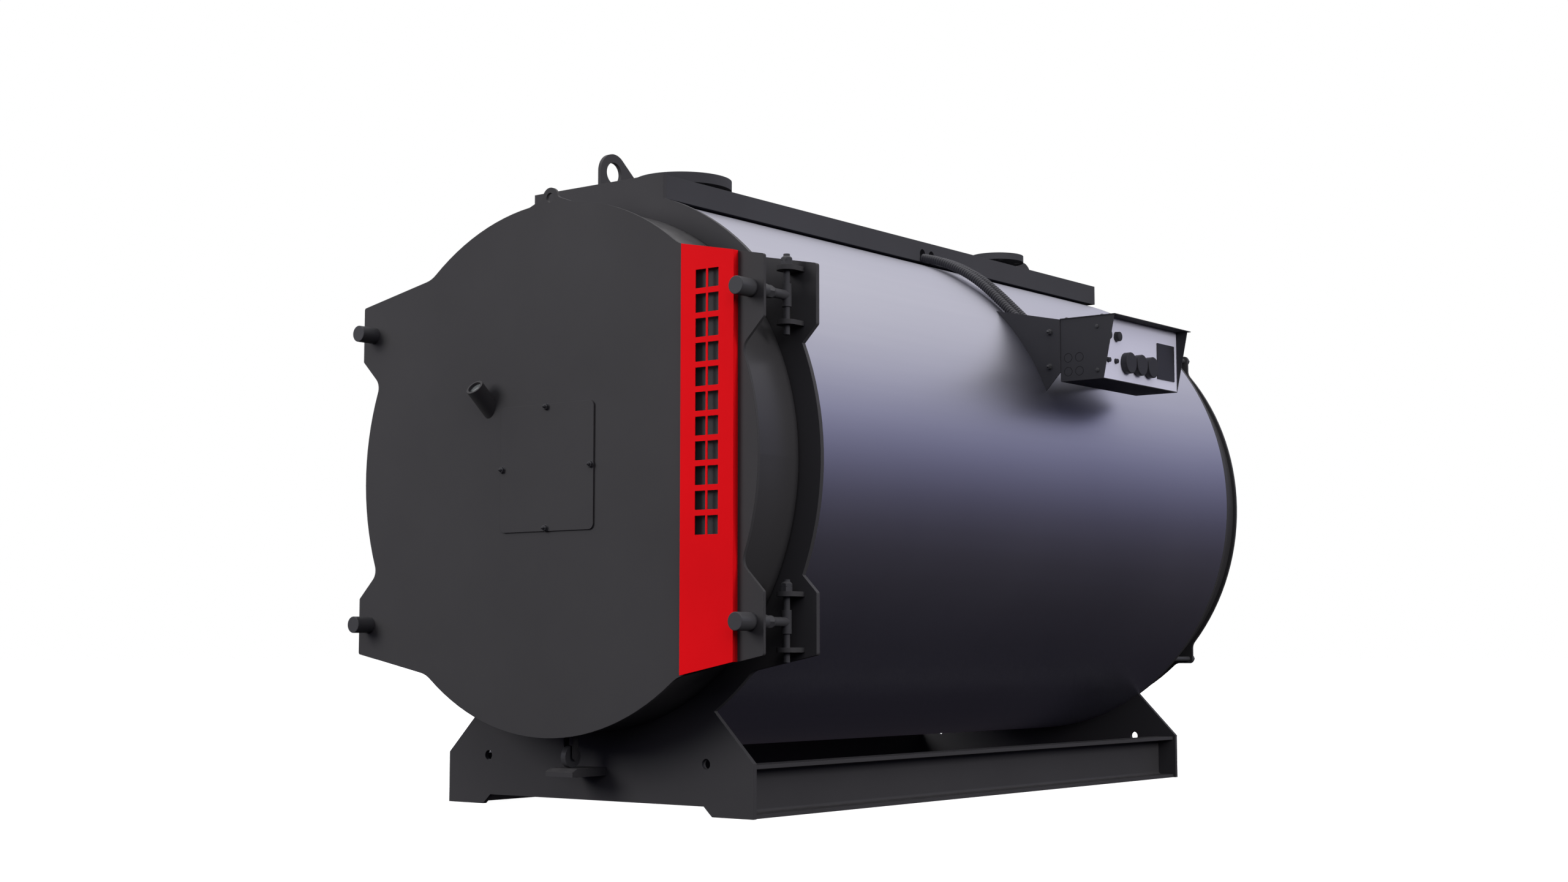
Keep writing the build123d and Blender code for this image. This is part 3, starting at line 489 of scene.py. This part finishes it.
# Pressure parts: shell, tube plates, furnace and fire tubes in plain welded steel, sooty where gas
# passes, with a little rust.
steel_tones = ((0.16, 0.155, 0.15, 1), (0.045, 0.043, 0.042, 1))
rust_tone = (0.14, 0.06, 0.03, 1)
scale_depth = 0.0002
steel_edge = 0.0012
boiler_steel = Finish("boiler_steel", Metallic=0.55)
soot = boiler_steel.between(boiler_steel.noise(9, 5, 0.65), 0.35, 0.65)
rust = boiler_steel.between(boiler_steel.noise(34, 4, 0.7), 0.56, 0.72, 0.0, 0.5)
steel_scale = boiler_steel.noise(160, 3)
boiler_steel.feed(
    Base_Color=boiler_steel.mixed(rust, boiler_steel.mixed(soot, *steel_tones), rust_tone),
    Roughness=boiler_steel.between(soot, 0, 1, 0.5, 0.85),
    Normal=boiler_steel.height(steel_scale, scale_depth, 0.5, boiler_steel.rounded(steel_edge)),
)
boiler_steel.cover("pressure_shell", "tube_plate", "rear_tube_plate", "furnace_tube", "fire_tubes")

# Linings: refractory cast into the door and into the rear cover, buff and matt, pitted where it was
# poured and darkened by smoke.
cast_tones = ((0.46, 0.40, 0.31, 1), (0.58, 0.52, 0.42, 1))
smoke_tone = (0.16, 0.13, 0.11, 1)
pit_depth = 0.0008
pits_per_metre = 140
refractory = Finish("refractory", Specular_IOR_Level=0.2)
cast_clouds = refractory.noise(5, 5, 0.6)
cast_pits = refractory.node(
    "ShaderNodeTexVoronoi",
    {"feature": "F1"},
    {"Vector": refractory.place(), "Scale": pits_per_metre},
    out="Distance",
)
smoked = refractory.between(refractory.noise(2.4, 4), 0.4, 0.7, 0.0, 0.65)
cast_base = refractory.mixed(cast_clouds, *cast_tones)
refractory.feed(
    Base_Color=refractory.mixed(smoked, cast_base, smoke_tone),
    Roughness=refractory.between(cast_clouds, 0, 1, 0.85, 0.97),
    Normal=refractory.height(refractory.between(cast_pits, 0.0, 0.35), pit_depth, 0.6),
)
refractory.cover("door_lining", "rear_lining")

# Insulation and door rope: mineral wool packed between the shell and the jacket, and a rope of
# like fibre laid round the door's seat.
wool_tones = ((0.40, 0.36, 0.24, 1), (0.62, 0.58, 0.44, 1))
fibre_depth = 0.002
wool = Finish("wool", Roughness=0.95, Specular_IOR_Level=0.15)
wool_fibre = wool.noise(60, 6, 0.75, at=wool.stretched((1, 0.2, 1)))
wool.feed(
    Base_Color=wool.mixed(wool_fibre, *wool_tones),
    Normal=wool.height(wool_fibre, fibre_depth, 0.7),
)
wool.cover("insulation", "door_rope")

# Fittings: eyebolts, pins, cap nuts, studs and roller, turned and screwed from steel, in a dark
# coat a shade lighter than the plates.
dark_steel = powder_coat("dark_steel", (0.050, 0.050, 0.053), peel=0.00003, gloss=0.38)
dark_steel.cover(
    "hinge_pins",
    "eyebolts_left",
    "eyebolts_right",
    "cap_nuts_left",
    "cap_nuts_right",
    "door_roller",
    "rear_studs",
)

# Control panel: light satin sheet with a very fine grain, set into the face of the control box
# under its hood.
panel_tones = ((0.69, 0.69, 0.81, 1), (0.73, 0.73, 0.85, 1))
panel_grain = 0.00002
panel_sheet = Finish("panel_sheet", Metallic=0.15)
panel_clouds = panel_sheet.noise(9, 3)
panel_sheet.feed(
    Base_Color=panel_sheet.mixed(panel_clouds, *panel_tones),
    Roughness=panel_sheet.between(panel_clouds, 0.3, 0.7, 0.42, 0.5),
    Normal=panel_sheet.height(panel_sheet.noise(900, 2), panel_grain, 0.5),
)
panel_sheet.cover("control_panel")

# Gauges and knobs: black moulded plastic with a fine grain and soft edges, the gauges pushed into
# holes in the panel.
moulding_tones = ((0.022, 0.022, 0.025, 1), (0.034, 0.034, 0.038, 1))
moulding_grain = 0.00003
moulding_edge = 0.0008
black_moulding = Finish("black_moulding", Specular_IOR_Level=0.4)
moulding_cloud = black_moulding.noise(40, 3)
moulding_speck = black_moulding.noise(1400, 2)
soft_edges = black_moulding.rounded(moulding_edge)
black_moulding.feed(
    Base_Color=black_moulding.mixed(moulding_cloud, *moulding_tones),
    Roughness=black_moulding.between(moulding_cloud, 0.3, 0.7, 0.45, 0.58),
    Normal=black_moulding.height(moulding_speck, moulding_grain, 0.6, soft_edges),
)
black_moulding.cover("panel_gauges", "panel_knobs", "conduit_front", "conduit_rear")

# Screen: a dark pane of smooth plastic, let into the right-hand end of the panel, with a faint
# sheen.
screen_tones = ((0.022, 0.022, 0.025, 1), (0.027, 0.027, 0.030, 1))
screen_glass = Finish("screen_glass", Specular_IOR_Level=0.5)
screen_cloud = screen_glass.noise(12, 2)
screen_glass.feed(
    Base_Color=screen_glass.mixed(screen_cloud, *screen_tones),
    Roughness=screen_glass.between(screen_cloud, 0.3, 0.7, 0.30, 0.38),
)
screen_glass.cover("panel_display")

# Sight glass: a thick round pane, dulled by smoke and heat, held in the end of the door's sight
# tube.
peep_tones = ((0.22, 0.24, 0.24, 1), (0.30, 0.32, 0.32, 1))
peep_glass = Finish("peep_glass", Transmission_Weight=0.6, IOR=1.5)
peep_cloud = peep_glass.noise(60, 3)
peep_glass.feed(
    Base_Color=peep_glass.mixed(peep_cloud, *peep_tones),
    Roughness=peep_glass.between(peep_cloud, 0.3, 0.7, 0.05, 0.15),
)
peep_glass.cover("sight_glass")

# Conduits: two ribbed black hoses from the top box's side down over the jacket to the bracket's
# back sheet. Soft moulded plastic with close rounded ribs, held at both ends and clear of the
# jacket between them.
hose_radius = 0.0120
hose_groove = 0.0028
hose_pitch = 0.0076
hose_side = packed_box("top_box")[1][0]
hose_route = (
    (hose_side, 1.4640),
    (0.250, 1.4546),
    (0.3235, 1.4215),
    (0.398, 1.3731),
    (0.500, 1.2762),
    (0.580, 1.2010),
    (0.6605, 1.1850),
)
hose_y = {"conduit_front": 0.0975, "conduit_rear": 0.142}
hose_tones = ((0.046, 0.046, 0.050, 1), (0.060, 0.060, 0.065, 1))
rib_angle = 60


def spline_line(route):
    """Points of the smooth NURBS line that a route steers, read from a curve with no bevel."""
    curve = bpy.data.curves.new("route", "CURVE")
    curve.dimensions = "3D"
    curve.resolution_u = 24
    spline = curve.splines.new("NURBS")
    spline.points.add(len(route) - 1)
    spline.points.foreach_set("co", np.column_stack([route, np.ones(len(route))]).ravel())
    spline.order_u = 3
    spline.use_endpoint_u = True
    holder = bpy.data.objects.new("route", curve)
    line = bpy.data.meshes.new_from_object(holder)
    points = points_of(line)
    bpy.data.objects.remove(holder)
    bpy.data.meshes.remove(line)
    bpy.data.curves.remove(curve)
    return points


def ribbed_hose(line, sides=26, rings_per_rib=10):
    """Hose along a line in a plane of constant depth: a circle carried along, with grooves.

    The radius is the hose's less the groove's depth times cos(pi s / pitch) to the fourth power,
    where s is the way along the line. A point is the line's, plus the radius times the cosine and
    sine of the turn along two directions square to the line.
    """
    runs = np.concatenate([[0], np.cumsum(np.linalg.norm(np.diff(line, axis=0), axis=1))])
    stations = np.linspace(0, runs[-1], int(rings_per_rib * runs[-1] / hose_pitch) + 1)
    points = np.stack([np.interp(stations, runs, line[:, side]) for side in range(3)], axis=1)
    way = np.gradient(points, axis=0)
    way /= np.linalg.norm(way, axis=1)[:, None]
    radius = hose_radius - hose_groove * np.cos(pi * stations / hose_pitch) ** 4
    radius[0] = radius[-1] = 0
    turns = np.linspace(0, 2 * pi, sides, endpoint=False)
    back = np.array((0.0, 1.0, 0.0))
    beside = np.cross(way, back)
    ring = np.cos(turns)[None, :, None] * beside[:, None] + np.sin(turns)[None, :, None] * back
    return points[:, None] + radius[:, None, None] * ring


hose_plastic = Finish("hose_plastic", Specular_IOR_Level=0.35)
hose_cloud = hose_plastic.noise(60, 3)
hose_plastic.feed(
    Base_Color=hose_plastic.mixed(hose_cloud, *hose_tones),
    Roughness=hose_plastic.between(hose_cloud, 0.3, 0.7, 0.46, 0.58),
)
for hose_name, depth in hose_y.items():
    hose_line = spline_line(np.array([(x, depth, z) for x, z in hose_route]))
    hose_tube = ribbed_hose(hose_line)
    hose = set_piece(
        hose_name + "_hose", [hose_tube], hose_plastic, "boiler", rib_angle
    )
    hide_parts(hose_name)

# Hose entries: over each hose a near-black disc on the top box's side, painted shade that stands
# for the hole, with a thin coated rim pressed out of the sheet.
entry_rise = 0.0125
entry_rim = (
    (0, -0.002),
    (0.0136, -0.002),
    (0.0136, 0.0004),
    (0.0131, 0.0009),
    (0.0125, 0.0009),
    (0.0125, -0.002),
    (0, -0.002),
)
entry_shade_disc = ((0, -0.001), (0.0126, -0.001), (0.0126, 0.0006), (0, 0.0006))
painted_shade_tones = ((0.0030, 0.0030, 0.0035, 1), (0.006, 0.006, 0.007, 1))
entry_places = [(hose_side, y, hose_route[0][1] + entry_rise) for y in hose_y.values()]
set_piece(
    "hose_hole_rims",
    [turned(entry_rim, place, (1, 0, 0)) for place in entry_places],
    cover_paint,
    "boiler",
)
# Near-black matt finish: painted shade for the inside of the hose holes and the gaps round the
# knock-outs.
painted_shade_black = Finish("painted_shade_black", Specular_IOR_Level=0.05)
painted_shade_cloud = painted_shade_black.noise(80, 2)
painted_shade_black.feed(
    Base_Color=painted_shade_black.mixed(painted_shade_cloud, *painted_shade_tones),
    Roughness=painted_shade_black.between(painted_shade_cloud, 0.3, 0.7, 0.85, 0.95),
)
set_piece(
    "hose_hole_painted_shade",
    [turned(entry_shade_disc, place, (1, 0, 0)) for place in entry_places],
    painted_shade_black,
    "boiler",
)

# Panel knobs: two fluted black knobs at the upper left of the panel and two small push buttons
# under them, moulded plastic pressed on to their spindles.
panel_x = packed_box("control_panel")[1][0]
knob_body = (
    (0, -0.0005),
    (0.0134, -0.0005),
    (0.0134, 0.0012),
    (0.0128, 0.0018),
    (0.0126, 0.0112),
    (0.0120, 0.0122),
    (0.0106, 0.0128),
    (0, 0.0128),
)
button_body = (
    (0, -0.0005),
    (0.0072, -0.0005),
    (0.0072, 0.0018),
    (0.0062, 0.0022),
    (0.0062, 0.0068),
    (0.0056, 0.0076),
    (0, 0.0078),
)
knob_z = 1.195
button_z = 1.130
flutes = 18
flute_share = 0.035
crisp_angle = 30
knob_places = [(panel_x, y, knob_z) for y in (0.0765, 0.130)]
button_places = [(panel_x, y, button_z) for y in (0.085, 0.125)]
knobs = set_piece(
    "panel_knobs_fluted",
    [
        turned(knob_body, place, (1, 0, 0), 4 * flutes, flutes=flutes, flute_share=flute_share)
        for place in knob_places
    ]
    + [turned(button_body, place, (1, 0, 0), sides=28) for place in button_places],
    black_moulding,
    "boiler",
    crisp_angle,
)
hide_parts("panel_knobs")

# Burner plate fixings: four studs through the plate, each with a washer, a hexagon nut and a
# pointed end.
burner_face_y = packed_box("burner_plate")[0][1]
burner_ring = 0.143
burner_studs = 4
washer = ((0, -0.001), (0.0085, -0.001), (0.0085, 0.0008), (0.0081, 0.0012), (0, 0.0012))
hexagon = (
    (0, 0.001),
    (0.0068, 0.001),
    (0.0075, 0.0018),
    (0.0075, 0.0066),
    (0.0066, 0.0074),
    (0, 0.0074),
)
stud_end = ((0, 0.006), (0.0038, 0.006), (0.0038, 0.0105), (0.0008, 0.0150), (0, 0.0152))
burner_places = [
    (burner_ring * cos(turn), burner_face_y, axis_z + burner_ring * sin(turn))
    for turn in np.arange(burner_studs) * 2 * pi / burner_studs
]
set_piece(
    "burner_plate_nuts",
    [turned(washer, place, (0, -1, 0)) for place in burner_places]
    + [turned(hexagon, place, (0, -1, 0), sides=6, start=0.2) for place in burner_places]
    + [turned(stud_end, place, (0, -1, 0), sides=20) for place in burner_places],
    dark_steel,
    "door",
    crisp_angle,
)

# Bracket: two gusset plates and a back sheet, bent and welded, that carry the control box. The rear
# gusset is cut off level with the foot of the back sheet, where that height meets the jacket.
gusset_foot = 1.1035
gusset_side = 0.46
bracket_weld_gap = 1e-5
bracket_angle = 35
bracket_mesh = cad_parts["panel_bracket"].data.copy()
bracket_mesh.name = "bracket_cut"
corners = points_of(bracket_mesh)
below = (corners[:, 1] > gusset_side) & (corners[:, 2] < gusset_foot)
corners[below, 0] = (jacket_radius**2 - (gusset_foot - axis_z) ** 2) ** 0.5
corners[below, 2] = gusset_foot
bracket_mesh.vertices.foreach_set("co", corners.ravel())
shell = bmesh.new()
shell.from_mesh(bracket_mesh)
bmesh.ops.remove_doubles(shell, verts=shell.verts, dist=bracket_weld_gap)
bmesh.ops.dissolve_degenerate(shell, edges=shell.edges, dist=bracket_weld_gap)
bmesh.ops.recalc_face_normals(shell, faces=shell.faces)
shell.to_mesh(bracket_mesh)
shell.free()
bracket_mesh.set_sharp_from_angle(angle=radians(bracket_angle))
bracket = bpy.data.objects.new("bracket_cut", bracket_mesh)
bpy.context.scene.collection.objects.link(bracket)
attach(bracket, "boiler")
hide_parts("panel_bracket")

# Control box fixings: two hexagon screws through the bracket's front sheet, two pan-head screws on
# the box's front cheek and two on its hood.
pan_head = (
    (0, -0.001),
    (0.0056, -0.001),
    (0.0056, 0.0014),
    (0.0050, 0.0026),
    (0.0034, 0.0034),
    (0, 0.0036),
)
rivet_head = (
    (0, -0.001),
    (0.0050, -0.001),
    (0.0046, 0.0012),
    (0.0034, 0.0024),
    (0.0016, 0.0030),
    (0, 0.0031),
)
bracket_face_y = packed_box("panel_bracket")[0][1]
box_low, box_high = packed_box("control_box")
box_sheet = 0.002
cheek_y = box_low[1] + box_sheet
cheek_screw_x = 0.774
hood_screw_y = 0.066
hood_top = box_high[2]
bracket_screws = [(x, bracket_face_y, z) for x, z in ((0.6335, 1.2125), (0.6325, 1.1205))]
cheek_screws = [(cheek_screw_x, cheek_y, z) for z in (1.2165, 1.102)]
hood_screws = [(x, hood_screw_y, hood_top) for x in (0.680, 0.786)]
bracket_head = (
    (0, 0.0),
    (0.0070, 0.0),
    (0.0077, 0.0009),
    (0.0077, 0.0068),
    (0.0068, 0.0078),
    (0, 0.0078),
)
set_piece(
    "control_box_screws",
    [turned(washer, place, (0, -1, 0)) for place in bracket_screws]
    + [turned(bracket_head, place, (0, -1, 0), sides=6, start=0.35) for place in bracket_screws]
    + [turned(stud_end, place, (0, -1, 0), sides=20) for place in bracket_screws]
    + [turned(pan_head, place, (0, -1, 0)) for place in cheek_screws]
    + [turned(rivet_head, place, (0, 0, 1)) for place in hood_screws],
    dark_steel,
    "boiler",
    crisp_angle,
)

# Knock-outs: four round blanks half punched through the box's front cheek, each ringed by a thin
# near-black band that is painted shade in the gap round it.
knockout_ring = (
    (0.0112, -0.0005),
    (0.0120, -0.0005),
    (0.0120, 0.00025),
    (0.0112, 0.00025),
    (0.0112, -0.0005),
)
knockout_places = [(x, cheek_y, z) for x in (0.6868, 0.7203) for z in (1.1405, 1.104)]
set_piece(
    "cheek_knockout_shade_rings",
    [turned(knockout_ring, place, (0, -1, 0), sides=40) for place in knockout_places],
    painted_shade_black,
    "boiler",
)
